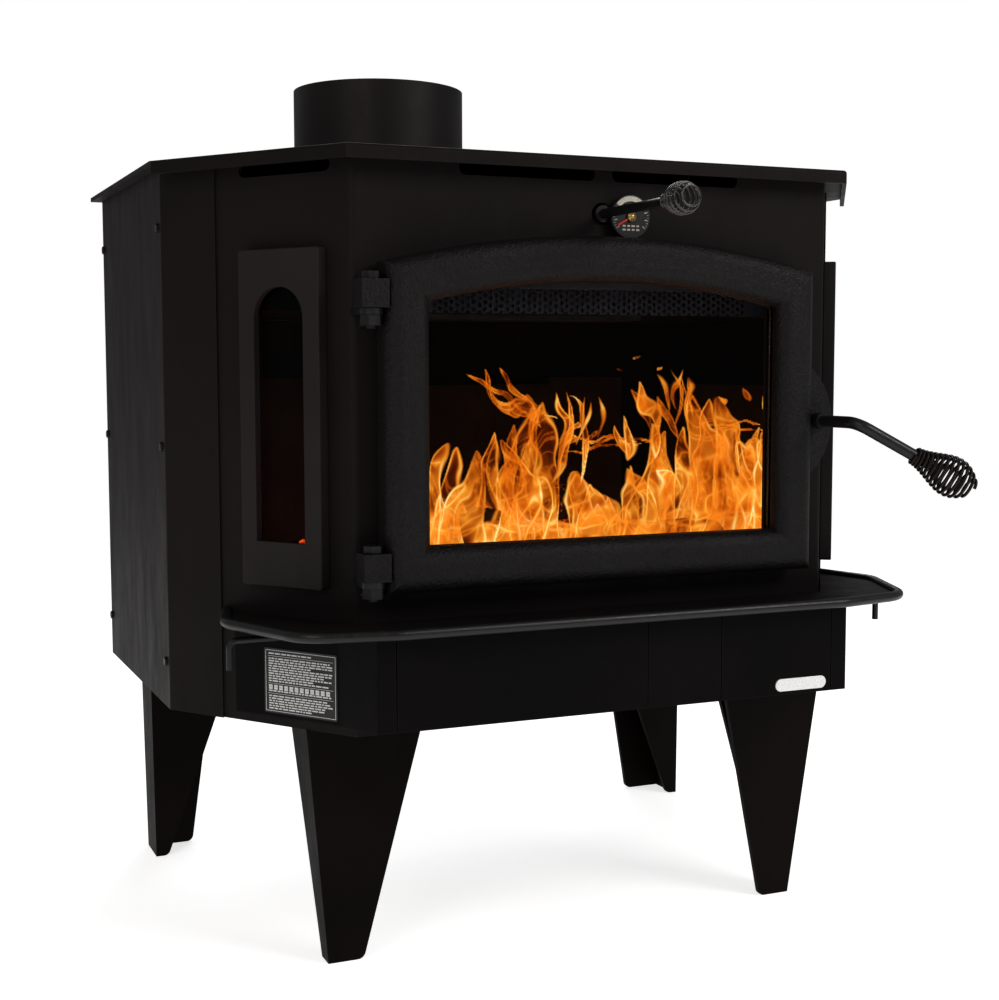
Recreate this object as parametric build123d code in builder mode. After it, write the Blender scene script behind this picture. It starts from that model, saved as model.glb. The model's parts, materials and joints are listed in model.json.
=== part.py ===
from build123d import *
import os
from math import cos, pi, radians, sin, tan

# A free-standing wood burning stove. Millimetres, +Z up, front facing -Y.
# The origin is on the floor, under the middle of the body.

os.makedirs("parts", exist_ok=True)

# ---------------------------------------------------------------- driving dimensions
plate_top = 857.0
plate_t = 5.0
body_bottom = 262.0
body_depth = 590.0
front_half = 280.0
body_half = 428.0
bay_angle = 55.0
fascia_t = 5.0
jacket_t = 2.0
wall_t = 6.0

front = -body_depth / 2
rear = body_depth / 2
bay_cos = cos(radians(bay_angle))
bay_sin = sin(radians(bay_angle))

plate_front_over = 24.0
plate_side_over = 13.0
plate_rear_over = 5.0
lip_t = 5.0
lip_height = 14.5

firebox_half = 384.0
firebox_rear = 240.0
firebox_floor_top = 352.0
firebox_roof_bottom = 820.0
brick_t = 32.0
brick_long = 229.0

flue_x = -108.0
flue_y = 122.0
flue_r = 106.5
flue_wall = 2.0
flue_top = 984.0

window_u = 84.5
window_width = 105.0
window_bottom = 412.0
window_height = 347.0
window_t = 14.0
pane_t = 5.0

door_x = -7.5
door_half = 250.0
door_bottom = 412.0
door_corner = 743.0
door_apex = 774.0
door_gap = 8.0
door_face = 45.0
door_border = 46.5
door_glass_back = 21.0
seal_gap = 0.4

hinge_x = -270.0
hinge_off = 28.0
hinge_levels = (697.0, 426.0)
knuckle_height = 28.0
pin_r = 5.0
running = 0.05

latch_x = 252.0
latch_z = 578.0
latch_shaft_r = 6.5
handle_out = 106.0
spring_start = 71.0
spring_end = 147.0
spring_overrun = 24.0

bypass_x = -2.0
bypass_z = 800.0
bypass_r = 5.0
bypass_out = 138.0
bypass_spring_length = 54.0

dial_x = 27.0
dial_z = 797.0
dial_r = 23.5

shelf_top = 379.0
shelf_t = 6.0
rim_r = 5.5
box_front = 59.0
box_half = 277.0
box_bottom = 277.0
box_sheet = 2.5

air_rod_y = front + 50
air_rod_z = 362.0
air_rod_r = 3.5
air_rod_end = 398.0

# Each leg is a tapered channel: its broad flange faces out (to the front or the back), its
# narrow one is behind it. Places are those of the ridge between the broad flange and the side.
leg_t = 6.0
toe_r = 9.0
web_middle = (50.0, 30.0)
web_size = (90.0, 50.0)
bolt_r = 4.0
bolt_head_r = 7.5
bolt_hole_r = bolt_r + 0.3
leg_bolt_spots = ((26.0, 30.0), (72.0, 30.0))
leg_tops = {"front_left_leg": (-318.0, front + 52, 1), "rear_left_leg": (-392.0, rear - 11, -1)}
leg_toes = {"front_left_leg": (-291.0, front + 71, 1), "rear_left_leg": (-389.0, rear - 19, -1)}
leg_sizes = {  # broad flange, side and narrow flange at the top, then the same three at the toe
    "front_left_leg": ((130.0, 60.0, 110.0), (40.0, 24.0, 16.0)),
    "rear_left_leg": ((100.0, 64.0, 115.0), (58.0, 56.0, 16.0)),
}
bolt_places = [
    (side * (x + dx), y + turn * dy)
    for x, y, turn in leg_tops.values()
    for dx, dy in leg_bolt_spots
    for side in (-1, 1)
]

# ---------------------------------------------------------------- shared geometry


def front_plane(stand_off):
    """Upright plane in front of the fascia by stand_off; its normal points at the viewer."""
    return Plane.XZ.offset(-front + stand_off)


def bay_point(u, out=0.0):
    """Point on the left bay: u along it from the front corner, out along its normal."""
    return (-front_half - bay_cos * u - bay_sin * out, front + bay_sin * u - bay_cos * out)


def bay_at_x(half, out=0.0):
    """Point where the left bay, moved out along its normal, reaches x = -half."""
    u = (half - front_half - bay_sin * out) / bay_cos
    return bay_point(u, out)


def body_plan(out, side, back):
    """Corner points of the body's plan with its front and bays moved out."""
    corner = front_half + out * tan(radians(bay_angle / 2))
    bay_end = bay_at_x(side, out)
    left = [(-corner, front - out), bay_end, (-side, back)]
    right = [(-x, y) for x, y in reversed(left)]
    return left + right


def plan_face(points, height):
    """Flat polygon at one height."""
    with BuildSketch(Plane.XY.offset(height)) as face:
        with BuildLine():
            Polyline(*points, close=True)
        make_face()
    return face.sketch


def sheet_outline(points, bend, thickness, height, side=Side.LEFT):
    """Edge-on outline of a bent sheet at one height."""
    with BuildSketch(Plane.XY.offset(height)) as outline:
        with BuildLine():
            FilletPolyline(*points, radius=bend)
            offset(amount=thickness, side=side)
        make_face()
    return outline.sketch


def arched(plane, half, bottom, corner, apex):
    """Upright outline with a shallow arched top, centred on the door."""
    with BuildSketch(plane) as outline:
        with BuildLine():
            Polyline(
                (door_x - half, corner),
                (door_x - half, bottom),
                (door_x + half, bottom),
                (door_x + half, corner),
            )
            ThreePointArc((door_x + half, corner), (door_x, apex), (door_x - half, corner))
        make_face()
    return outline.sketch


def door_outline(plane, inset):
    """Door outline moved in on every side."""
    return arched(
        plane, door_half - inset, door_bottom + inset, door_corner - inset * 0.85, door_apex - inset
    )


def finish(builder, label):
    """Name a finished piece and write it."""
    builder.part.label = label
    export_step(builder.part, f"parts/{label}.step")


left_bay = Plane(
    origin=(-front_half, front, 0), x_dir=(bay_cos, -bay_sin, 0), z_dir=(-bay_sin, -bay_cos, 0)
)


def bay_plane(out):
    """Plane parallel to the left bay; x runs towards the front corner, y is up."""
    return left_bay.offset(out)


def pear(t, small, swell):
    """Wire radius of a pear-shaped coil, from its neck (t = 0) to its blunt end."""
    return small + swell * sin(pi * t**2)


# ---------------------------------------------------------------- base and jacket
with BuildPart() as base_plate:
    extrude(plan_face(body_plan(-1, body_half - 3, rear - 4), body_bottom), amount=wall_t)
    for x, y in bolt_places:
        with Locations((x, y, body_bottom)):
            Cylinder(bolt_hole_r, 30, mode=Mode.SUBTRACT)
finish(base_plate, "base_plate")

fascia_end = bay_point(250)
fascia_path = [fascia_end, (-front_half, front), (front_half, front), (-fascia_end[0], fascia_end[1])]
slot_height = 15.0
slot_middle = 841.5
front_slot_x = 87.5
front_slot_width = 155.0
bay_slot_u = 86.5
bay_slot_width = 119.0
cut_depth = 20.0

with BuildPart() as front_fascia:
    fascia_height = plate_top - plate_t - body_bottom - wall_t
    extrude(
        sheet_outline(fascia_path, 10, fascia_t, body_bottom + wall_t), amount=fascia_height
    )
    extrude(door_outline(front_plane(5), 38), amount=-cut_depth, mode=Mode.SUBTRACT)
    with BuildSketch(front_plane(5)):
        with Locations((-front_slot_x, slot_middle), (front_slot_x, slot_middle)):
            SlotOverall(front_slot_width, slot_height)
        with Locations((bypass_x, bypass_z)):
            Circle(12)
        with Locations((dial_x, dial_z)):
            Circle(4)
    extrude(amount=-cut_depth, mode=Mode.SUBTRACT)
    for side_sign in (1, -1):
        with BuildSketch(bay_plane(5), mode=Mode.PRIVATE) as bay_openings:
            with Locations((-window_u, window_bottom + window_height / 2 + 4)):
                Rectangle(72, 274)
            with Locations((-bay_slot_u, slot_middle)):
                SlotOverall(bay_slot_width, slot_height)
        cutter = extrude(bay_openings.sketch, amount=-cut_depth, mode=Mode.PRIVATE)
        if side_sign < 0:
            cutter = mirror(cutter, about=Plane.YZ, mode=Mode.PRIVATE)
        add(cutter, mode=Mode.SUBTRACT)
    with Locations(Location((0, air_rod_y, air_rod_z), (0, 90, 0))):
        Cylinder(air_rod_r + 1.5, 2 * body_half, mode=Mode.SUBTRACT)
finish(front_fascia, "front_fascia")

jacket_inner = body_half - jacket_t
jacket_path = [
    bay_point(178),
    bay_at_x(jacket_inner),
    (-jacket_inner, rear - jacket_t),
    (-jacket_inner + 30, rear - jacket_t),
]
jacket_screw_levels = (314.0, 552.0, 789.0)
small_screw_r = 2.5
small_head_r = 5.0
jacket_screw_rows = (bay_at_x(jacket_inner)[1] + 12, rear - 15)

with BuildPart() as left_jacket:
    extrude(
        sheet_outline(jacket_path, 3, jacket_t, body_bottom),
        amount=plate_top - plate_t - body_bottom,
    )
    for row in jacket_screw_rows:
        for level in jacket_screw_levels:
            with Locations(Location((-jacket_inner, row, level), (0, 90, 0))):
                Cylinder(small_screw_r, 10, mode=Mode.SUBTRACT)
finish(left_jacket, "left_jacket")

with BuildPart() as right_jacket:
    mirror(left_jacket.part, about=Plane.YZ)
finish(right_jacket, "right_jacket")

with BuildPart() as jacket_screws:
    for sign in (-1, 1):
        for row in jacket_screw_rows:
            for level in jacket_screw_levels:
                with Locations(Location((sign * (body_half - 2), row, level), (0, sign * 90, 0))):
                    Cylinder(small_screw_r, 8)
                with BuildSketch(Plane(origin=(sign * body_half, row, level), z_dir=(sign, 0, 0))):
                    RegularPolygon(small_head_r, 6)
                extrude(amount=3.2)
    head_faces = jacket_screws.faces().filter_by(Axis.X).sort_by(Axis.X)
    fillet((head_faces[:6] + head_faces[-6:]).edges(), 0.8)
finish(jacket_screws, "jacket_screws")

back_sheet_y = rear - 1.5 * jacket_t
louvre_z = 320.0

with BuildPart() as back_jacket:
    with Locations((0, back_sheet_y, (body_bottom + plate_top - plate_t) / 2)):
        Box(2 * jacket_inner - 10, jacket_t, plate_top - plate_t - body_bottom)
    with BuildSketch(Plane.XZ.offset(-rear + 10)):
        with Locations((0, louvre_z)):
            with GridLocations(60, 16, 5, 4):
                SlotOverall(48, 7)
    extrude(amount=30, both=True, mode=Mode.SUBTRACT)
finish(back_jacket, "back_jacket")

# ---------------------------------------------------------------- top plate and flue
plate_plan = body_plan(plate_front_over, body_half + plate_side_over, rear + plate_rear_over)

with BuildPart() as top_plate:
    extrude(plan_face(plate_plan, plate_top - plate_t), amount=plate_t)
    lip_path = [plate_plan[1], plate_plan[0], plate_plan[5], plate_plan[4]]
    with BuildSketch(Plane.XY.offset(plate_top - lip_height)):
        with BuildLine():
            Polyline(*lip_path)
            offset(amount=lip_t, side=Side.LEFT)
        make_face()
    extrude(amount=lip_height - plate_t)
    top_rim = top_plate.faces().sort_by(Axis.Z)[-1].edges().sort_by(Axis.Y)
    fillet(top_rim[:3], 4)
    with Locations((flue_x, flue_y, plate_top)):
        Cylinder(flue_r + 4.5, 60, mode=Mode.SUBTRACT)
finish(top_plate, "top_plate")

with BuildPart() as flue_collar:
    with BuildSketch(Plane.XY.offset(firebox_roof_bottom + wall_t)):
        with Locations((flue_x, flue_y)):
            Circle(flue_r + 4)
            Circle(flue_r, mode=Mode.SUBTRACT)
    extrude(amount=plate_top + 8 - firebox_roof_bottom - wall_t)
    fillet(flue_collar.faces().sort_by(Axis.Z)[-1].edges(), 1.5)
finish(flue_collar, "flue_collar")

with BuildPart() as flue_pipe:
    with BuildSketch(Plane.XY.offset(firebox_roof_bottom + wall_t)):
        with Locations((flue_x, flue_y)):
            Circle(flue_r)
            Circle(flue_r - flue_wall, mode=Mode.SUBTRACT)
    extrude(amount=flue_top - firebox_roof_bottom - wall_t)
finish(flue_pipe, "flue_pipe")

# ---------------------------------------------------------------- firebox
firebox_plan = body_plan(-fascia_t - 1, firebox_half, firebox_rear)
wall_height = firebox_roof_bottom - firebox_floor_top
wall_start = bay_at_x(firebox_half + wall_t, -fascia_t)[1]

with BuildPart() as firebox_floor:
    extrude(plan_face(firebox_plan, firebox_floor_top - wall_t), amount=wall_t)
finish(firebox_floor, "firebox_floor")

with BuildPart() as firebox_roof:
    extrude(plan_face(firebox_plan, firebox_roof_bottom), amount=wall_t)
    with Locations((flue_x, flue_y, firebox_roof_bottom)):
        Cylinder(flue_r - flue_wall, 60, mode=Mode.SUBTRACT)
finish(firebox_roof, "firebox_roof")

with BuildPart() as firebox_side_walls:
    with Locations((0, (wall_start + firebox_rear) / 2, (firebox_floor_top + firebox_roof_bottom) / 2)):
        with GridLocations(2 * firebox_half + wall_t, 1, 2, 1):
            Box(wall_t, firebox_rear - wall_start, wall_height + 2 * wall_t)
finish(firebox_side_walls, "firebox_side_walls")

with BuildPart() as firebox_back_wall:
    with Locations(
        (0, firebox_rear + wall_t / 2, (firebox_floor_top + firebox_roof_bottom) / 2)
    ):
        Box(2 * (firebox_half + wall_t), wall_t, wall_height + 2 * wall_t)
finish(firebox_back_wall, "firebox_back_wall")

# Brick linings: each brick is its own solid, with a 1 mm joint.
brick_joint = 1.0
floor_brick = 114.0
side_brick_z = firebox_floor_top + brick_t + brick_long / 2
rear_brick_y = firebox_rear - 1 - brick_t / 2
rear_brick_step = 10.0

with BuildPart() as floor_bricks:
    with Locations((0, 0, firebox_floor_top + brick_t / 2)):
        with GridLocations(floor_brick + brick_joint, brick_long + brick_joint, 6, 2):
            Box(floor_brick, brick_long, brick_t)
    extrude(
        plan_face(body_plan(-fascia_t - 2, firebox_half - 1, firebox_rear), firebox_floor_top),
        amount=brick_t,
        mode=Mode.INTERSECT,
    )
finish(floor_bricks, "floor_bricks")

with BuildPart() as side_bricks:
    with Locations((0, 40, side_brick_z)):
        with GridLocations(2 * firebox_half - brick_t, floor_brick + brick_joint, 2, 3):
            Box(brick_t, floor_brick, brick_long)
finish(side_bricks, "side_bricks")

with BuildPart() as rear_bricks:
    with Locations((0, rear_brick_y, side_brick_z)):
        with GridLocations(floor_brick + brick_joint, 1, 3, 1):
            Box(floor_brick, brick_t - 2, brick_long)
    with Locations((0, rear_brick_y, side_brick_z + rear_brick_step / 2)):
        with GridLocations(4 * (floor_brick + brick_joint), 1, 2, 1):
            Box(floor_brick, brick_t - 2, brick_long + rear_brick_step)
finish(rear_bricks, "rear_bricks")

baffle_z = 700.0
baffle_y = 50.0
catalyst_y = -40.0
catalyst_width = 322.0
catalyst_depth = 82.0
catalyst_fit = 2.0
cell_pitch = 15.0
cell_size = 12.0
bypass_port = (120.0, 90.0)
bypass_port_place = (-200.0, 170.0)

with BuildPart() as baffle:
    with Locations((0, baffle_y, baffle_z + wall_t / 2)):
        Box(2 * firebox_half - 40, 2 * (firebox_rear - baffle_y) - 2, wall_t)
    with Locations((0, catalyst_y, baffle_z)):
        Box(catalyst_width + catalyst_fit, catalyst_depth + catalyst_fit, 60, mode=Mode.SUBTRACT)
    with Locations((*bypass_port_place, baffle_z)):
        Box(*bypass_port, 60, mode=Mode.SUBTRACT)
finish(baffle, "baffle")

with BuildPart() as catalyst:
    with Locations((0, catalyst_y, baffle_z + 20)):
        Box(catalyst_width, catalyst_depth, 50)
    with BuildSketch(Plane.XY.offset(baffle_z - 10)):
        with Locations((0, catalyst_y)):
            with GridLocations(cell_pitch, cell_pitch, 20, 5):
                Rectangle(cell_size, cell_size)
    extrude(amount=80, mode=Mode.SUBTRACT)
finish(catalyst, "catalyst")

screen_width = 440.0
screen_height = 44.0
screen_z = 716.0
screen_t = 2.0

with BuildPart() as flame_guard_screen:
    with Locations((door_x, front + fascia_t + screen_t / 2, screen_z)):
        Box(screen_width, screen_t, screen_height)
    with BuildSketch(Plane.XZ.offset(-front - fascia_t + 2)):
        with Locations((door_x, screen_z - 5)):
            with HexLocations(3.6, 60, 5):
                RegularPolygon(2.6, 6)
    extrude(amount=-10, mode=Mode.SUBTRACT)
finish(flame_guard_screen, "flame_guard_screen")

# ---------------------------------------------------------------- side windows
opening_half = 32.0
opening_bottom = window_bottom + 46.5
opening_apex = window_bottom + window_height - 38.5
opening_straight = opening_apex - opening_half - opening_bottom
window_middle = window_bottom + window_height / 2
pane_middle = window_middle + 4
pane_width = 83.0
pane_height = 287.0

with BuildPart() as left_window_frame:
    with BuildSketch(bay_plane(0)):
        with Locations((-window_u, window_middle)):
            RectangleRounded(window_width, window_height, 3)
    extrude(amount=window_t)
    fillet(left_window_frame.faces().filter_by(left_bay).group_by(SortBy.AREA)[-1].edges(), 1.5)
    with BuildSketch(bay_plane(-5)):
        with Locations((-window_u, opening_bottom + opening_straight / 2)):
            Rectangle(2 * opening_half, opening_straight)
        with Locations((-window_u, opening_apex - opening_half)):
            Circle(opening_half)
    extrude(amount=40, mode=Mode.SUBTRACT)
    with BuildSketch(bay_plane(-5)):
        with Locations((-window_u, pane_middle)):
            Rectangle(pane_width + 1, pane_height + 1)
    extrude(amount=5 + pane_t + 2, mode=Mode.SUBTRACT)
finish(left_window_frame, "left_window_frame")

with BuildPart() as right_window_frame:
    mirror(left_window_frame.part, about=Plane.YZ)
finish(right_window_frame, "right_window_frame")

with BuildPart() as left_window_glass:
    with BuildSketch(bay_plane(2)):
        with Locations((-window_u, pane_middle)):
            RectangleRounded(pane_width, pane_height, 2)
    extrude(amount=pane_t)
finish(left_window_glass, "left_window_glass")

with BuildPart() as right_window_glass:
    mirror(left_window_glass.part, about=Plane.YZ)
finish(right_window_glass, "right_window_glass")

with BuildPart() as window_gaskets:
    with BuildSketch(bay_plane(0)):
        with Locations((-window_u, pane_middle)):
            Rectangle(pane_width, pane_height)
            Rectangle(pane_width - 10, pane_height - 12, mode=Mode.SUBTRACT)
    extrude(amount=2)
    mirror(about=Plane.YZ)
finish(window_gaskets, "window_gaskets")

# ---------------------------------------------------------------- door
ear_x = 196.6
ear_r = 76.6
ear_back = 16.0
ear_t = 14.0
glass_inset = 28.0
seal_inset = 10.0
seal_width = 12.0
groove_depth = 8.0

with BuildPart() as door_frame:
    extrude(door_outline(front_plane(door_gap), 0), amount=door_face - door_gap)
    extrude(door_outline(front_plane(door_gap), door_border), amount=60, mode=Mode.SUBTRACT)
    crest = door_frame.faces().sort_by(Axis.Y)[0]
    fillet(crest.edges(), 16)
    extrude(
        door_outline(front_plane(door_gap - 1), glass_inset),
        amount=door_glass_back + pane_t - door_gap + 1,
        mode=Mode.SUBTRACT,
    )
    with BuildSketch(front_plane(ear_back)):
        with Locations((ear_x, latch_z)):
            Circle(ear_r)
        with Locations((ear_x - 20, latch_z)):
            Rectangle(2 * (door_x + door_half - 6 - ear_x + 20), 3 * ear_r, mode=Mode.SUBTRACT)
    extrude(amount=ear_t)
    for level in hinge_levels:
        with Locations((hinge_x + 0.5, front - hinge_off, level + knuckle_height / 2)):
            Box(28, 28, knuckle_height)
        with Locations((hinge_x, front - hinge_off, level)):
            Cylinder(pin_r + running, 100, mode=Mode.SUBTRACT)
    with Locations(Location((latch_x, front - ear_back, latch_z), (90, 0, 0))):
        Cylinder(latch_shaft_r + running, 80, mode=Mode.SUBTRACT)
    groove = door_outline(front_plane(door_gap - 1), seal_inset)
    groove_core = door_outline(front_plane(door_gap - 1), seal_inset + seal_width)
    extrude(groove - groove_core, amount=groove_depth + 1, mode=Mode.SUBTRACT)
finish(door_frame, "door_frame")

with BuildPart() as door_rope_seal:
    seal_plane = front_plane(seal_gap)
    seal_ring = door_outline(seal_plane, seal_inset) - door_outline(seal_plane, seal_inset + seal_width)
    extrude(seal_ring, amount=door_gap + groove_depth - seal_gap)
    fillet(door_rope_seal.faces().sort_by(Axis.Y)[-1].edges(), 4)
finish(door_rope_seal, "door_rope_seal")

with BuildPart() as door_glass:
    extrude(door_outline(front_plane(door_glass_back), glass_inset + 1), amount=pane_t)
finish(door_glass, "door_glass")

with BuildPart() as glass_gasket:
    gasket_plane = front_plane(door_glass_back - 2)
    gasket_ring = door_outline(gasket_plane, glass_inset + 1) - door_outline(gasket_plane, door_border)
    extrude(gasket_ring, amount=2)
finish(glass_gasket, "glass_gasket")

retainer_t = 4.0
retainer_width = 16.0
retainer_y = front - door_glass_back + 2 + retainer_t / 2
retainer_inset = glass_inset + 9
retainer_length = 2 * (door_half - glass_inset) - 12
retainer_spots = (
    (door_x, door_bottom + retainer_inset, retainer_length, retainer_width),
    (door_x - door_half + retainer_inset, 575, retainer_width, 226),
    (door_x + door_half - retainer_inset, 575, retainer_width, 226),
    (door_x, 727, 250, retainer_width),
)
retainer_screw_spots = [
    (x + fx * (w / 2 - 14 if w > h else 0), z + fx * (0 if w > h else h / 2 - 14))
    for x, z, w, h in retainer_spots
    for fx in (-1, 1)
]

with BuildPart() as glass_retainers:
    for x, z, width, height in retainer_spots:
        with Locations((x, retainer_y, z)):
            Box(width, retainer_t, height)
    for x, z in retainer_screw_spots:
        with Locations(Location((x, retainer_y, z), (90, 0, 0))):
            Cylinder(small_screw_r, 20, mode=Mode.SUBTRACT)
finish(glass_retainers, "glass_retainers")

with BuildPart() as retainer_screws:
    for x, z in retainer_screw_spots:
        with BuildSketch(Plane.XZ.offset(-retainer_y - retainer_t / 2)):
            with Locations((x, z)):
                RegularPolygon(small_head_r, 6)
        extrude(amount=-4)
        with Locations(Location((x, retainer_y, z), (90, 0, 0))):
            Cylinder(small_screw_r, retainer_t)
finish(retainer_screws, "retainer_screws")

# ---------------------------------------------------------------- hinges
lug_t = 6.0
lug_r = 12.0
lug_gap = 0.5
leaf_t = 5.0
nut_height = 11.0
head_height = 7.0

with BuildPart() as hinge_brackets:
    for level in hinge_levels:
        with BuildSketch(Plane.XY.offset(level - lug_gap - lug_t)):
            with Locations((hinge_x, front - hinge_off / 2)):
                Rectangle(2 * lug_r, hinge_off)
            with Locations((hinge_x, front - hinge_off)):
                Circle(lug_r)
                Circle(pin_r, mode=Mode.SUBTRACT)
        extrude(amount=lug_t)
        with Locations((hinge_x + 3, front - leaf_t / 2, level + knuckle_height / 2 - 6)):
            Box(2 * lug_r - 6, leaf_t, knuckle_height + 24)
finish(hinge_brackets, "hinge_brackets")

with BuildPart() as hinge_pins:
    for level in hinge_levels:
        pin_bottom = level - lug_gap - lug_t - nut_height - 3
        pin_top = level + knuckle_height + lug_gap
        with Locations((hinge_x, front - hinge_off, (pin_bottom + pin_top) / 2)):
            Cylinder(pin_r, pin_top - pin_bottom)
        with BuildSketch(Plane.XY.offset(pin_top)):
            with Locations((hinge_x, front - hinge_off)):
                RegularPolygon(10, 6)
        extrude(amount=head_height)
        with BuildSketch(Plane.XY.offset(pin_bottom + 3)):
            with Locations((hinge_x, front - hinge_off)):
                RegularPolygon(11.5, 6)
        extrude(amount=nut_height)
finish(hinge_pins, "hinge_pins")

# ---------------------------------------------------------------- latch and handle
handle_dir = Vector(0.82, -0.30, -0.49).normalized()
handle_elbow = Vector(latch_x, front - handle_out, latch_z)
handle_frame = Plane(origin=handle_elbow, x_dir=handle_dir, z_dir=Vector(0, 0, 1).cross(handle_dir))
handle_axis = Axis(origin=handle_elbow, direction=handle_dir)
coil_turns = 14
finger_angle = -60.0
finger_reach = 30.0
finger_y = front - 8

with BuildPart() as handle_rod:
    with BuildLine() as handle_path:
        FilletPolyline(
            (latch_x, front - 3, latch_z),
            handle_elbow,
            handle_elbow + handle_dir * (spring_start + spring_overrun),
            radius=20,
        )
    with BuildSketch(Plane(origin=handle_path.line @ 0, z_dir=handle_path.line % 0)):
        Circle(latch_shaft_r)
    sweep()
    with Locations(Location((latch_x, front - ear_back - ear_t - 7.5, latch_z), (90, 0, 0))):
        Cylinder(9, 14)
finish(handle_rod, "handle_rod")

with BuildPart() as handle_spring:
    with BuildSketch(handle_frame):
        for turn in range(coil_turns + 1):
            along = turn / coil_turns
            with Locations((spring_start + along * (spring_end - spring_start), pear(along, 11.2, 11.8))):
                Circle(4.7)
    revolve(axis=handle_axis)
    with Locations(Plane(origin=handle_elbow, z_dir=handle_dir)):
        Cylinder(latch_shaft_r, 260, mode=Mode.SUBTRACT)
finish(handle_spring, "handle_spring")

with BuildPart() as latch_cam:
    with BuildSketch(Plane.XZ.offset(-finger_y)):
        with Locations((latch_x, latch_z)):
            Circle(9)
            with Locations(Rotation(0, 0, finger_angle)):
                with Locations((finger_reach / 2, 0)):
                    Rectangle(finger_reach, 9)
            Circle(latch_shaft_r, mode=Mode.SUBTRACT)
    extrude(amount=-4)
finish(latch_cam, "latch_cam")

with BuildPart() as latch_catch:
    with Locations((latch_x - 2.25, front - 6.5, latch_z - 35.5)):
        Box(11.5, 13, 5)
    with Locations((latch_x - 2.25, front - 11, latch_z - 29)):
        Box(11.5, 4, 18)
finish(latch_catch, "latch_catch")

# ---------------------------------------------------------------- bypass damper
with BuildPart() as bypass_bush:
    with BuildSketch(front_plane(4)):
        with Locations((bypass_x, bypass_z)):
            Circle(9)
            Circle(bypass_r + 0.08, mode=Mode.SUBTRACT)
    extrude(amount=-16)
finish(bypass_bush, "bypass_bush")

bypass_inner = 150.0
bypass_overrun = 16.0
bypass_middle = front + (bypass_inner - bypass_out - bypass_overrun) / 2
coil_end = 10

with BuildPart() as bypass_rod:
    with Locations(Location((bypass_x, bypass_middle, bypass_z), (90, 0, 0))):
        Cylinder(bypass_r, bypass_inner + bypass_out + bypass_overrun)
finish(bypass_rod, "bypass_rod")

with BuildPart() as bypass_plate:
    with Locations((bypass_x, front + bypass_inner - 20, bypass_z - bypass_r - 2)):
        Box(150, 110, 4)
finish(bypass_plate, "bypass_plate")

with BuildPart() as bypass_spring:
    with BuildSketch(Plane.YZ.offset(bypass_x)):
        for turn in range(coil_end + 1):
            along = turn / coil_end
            y_turn = front - bypass_out - along * bypass_spring_length
            with Locations((y_turn, bypass_z + pear(along, 9.3, 3.6))):
                Circle(4.2)
    revolve(axis=Axis(origin=(bypass_x, front, bypass_z), direction=(0, -1, 0)))
finish(bypass_spring, "bypass_spring")

# ---------------------------------------------------------------- thermometer
with BuildPart() as thermometer_case:
    with BuildSketch(front_plane(0)):
        with Locations((dial_x, dial_z)):
            Circle(9)
    extrude(amount=6)
    with BuildSketch(front_plane(6)):
        with Locations((dial_x, dial_z)):
            Circle(dial_r)
    extrude(amount=5)
    fillet(thermometer_case.faces().sort_by(Axis.Y)[0].edges(), 1)
    with Locations(Location((dial_x, front + 30, dial_z), (90, 0, 0))):
        Cylinder(3, 60)
finish(thermometer_case, "thermometer_case")

with BuildPart() as thermometer_needle:
    with BuildSketch(front_plane(11.3)):
        with Locations((dial_x, dial_z)):
            Circle(4.6)
            with Locations(Rotation(0, 0, 210)):
                with Locations((9, 0)):
                    Rectangle(18, 1.8)
    extrude(amount=1.2)
finish(thermometer_needle, "thermometer_needle")

# ---------------------------------------------------------------- ash shelf
shelf_front = front - 80
shelf_back = bay_point(176)
rim_left = [
    (shelf_back[0] + 4, shelf_back[1] + 2),
    (-400, front + 60),
    (-352, front - 62),
    (-262, shelf_front),
]
rim_loop = rim_left + [(-x, y) for x, y in reversed(rim_left)]
rim_bend = 45.0

with BuildPart() as shelf_rim_rod:
    with BuildLine(Plane.XY.offset(shelf_top)) as rim_path:
        FilletPolyline(*rim_loop, radius=rim_bend)
    with BuildSketch(Plane(origin=rim_path.line @ 0, z_dir=rim_path.line % 0)):
        Circle(rim_r)
    sweep()
    extrude(
        plan_face(body_plan(jacket_t, body_half, rear), shelf_top - 20), amount=40, mode=Mode.SUBTRACT
    )
finish(shelf_rim_rod, "shelf_rim_rod")

with BuildPart() as ash_shelf:
    with BuildSketch(Plane.XY.offset(shelf_top - shelf_t)):
        with BuildLine():
            FilletPolyline(*rim_loop, radius=rim_bend)
            Line(rim_loop[-1], rim_loop[0])
        make_face()
        offset(amount=-rim_r, kind=Kind.INTERSECTION)
    extrude(amount=shelf_t)
    extrude(
        plan_face(body_plan(jacket_t, body_half, rear), shelf_top - 20), amount=40, mode=Mode.SUBTRACT
    )
finish(ash_shelf, "ash_shelf")

# ---------------------------------------------------------------- low air box
box_top = shelf_top - shelf_t
box_height = box_top - box_bottom
box_offset = 20.0
panel_seams = (-257.0, 25.0, 115.0, 257.0)
box_corner = bay_point(6, box_offset)
box_tail = bay_point(145, box_offset)
box_return = bay_point(145, 0.2)
box_path = [
    (panel_seams[0] - 0.6, front - box_front),
    (-box_half, front - box_front),
    box_corner,
    box_tail,
    box_return,
]

with BuildPart() as left_box_side:
    extrude(sheet_outline(box_path, 2, box_sheet, box_bottom, Side.RIGHT), amount=box_height)
    with Locations(Location((-340, air_rod_y, air_rod_z), (0, 90, 0))):
        Cylinder(air_rod_r + 1.5, 60, mode=Mode.SUBTRACT)
finish(left_box_side, "left_box_side")

with BuildPart() as right_box_side:
    mirror(left_box_side.part, about=Plane.YZ)
finish(right_box_side, "right_box_side")

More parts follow.
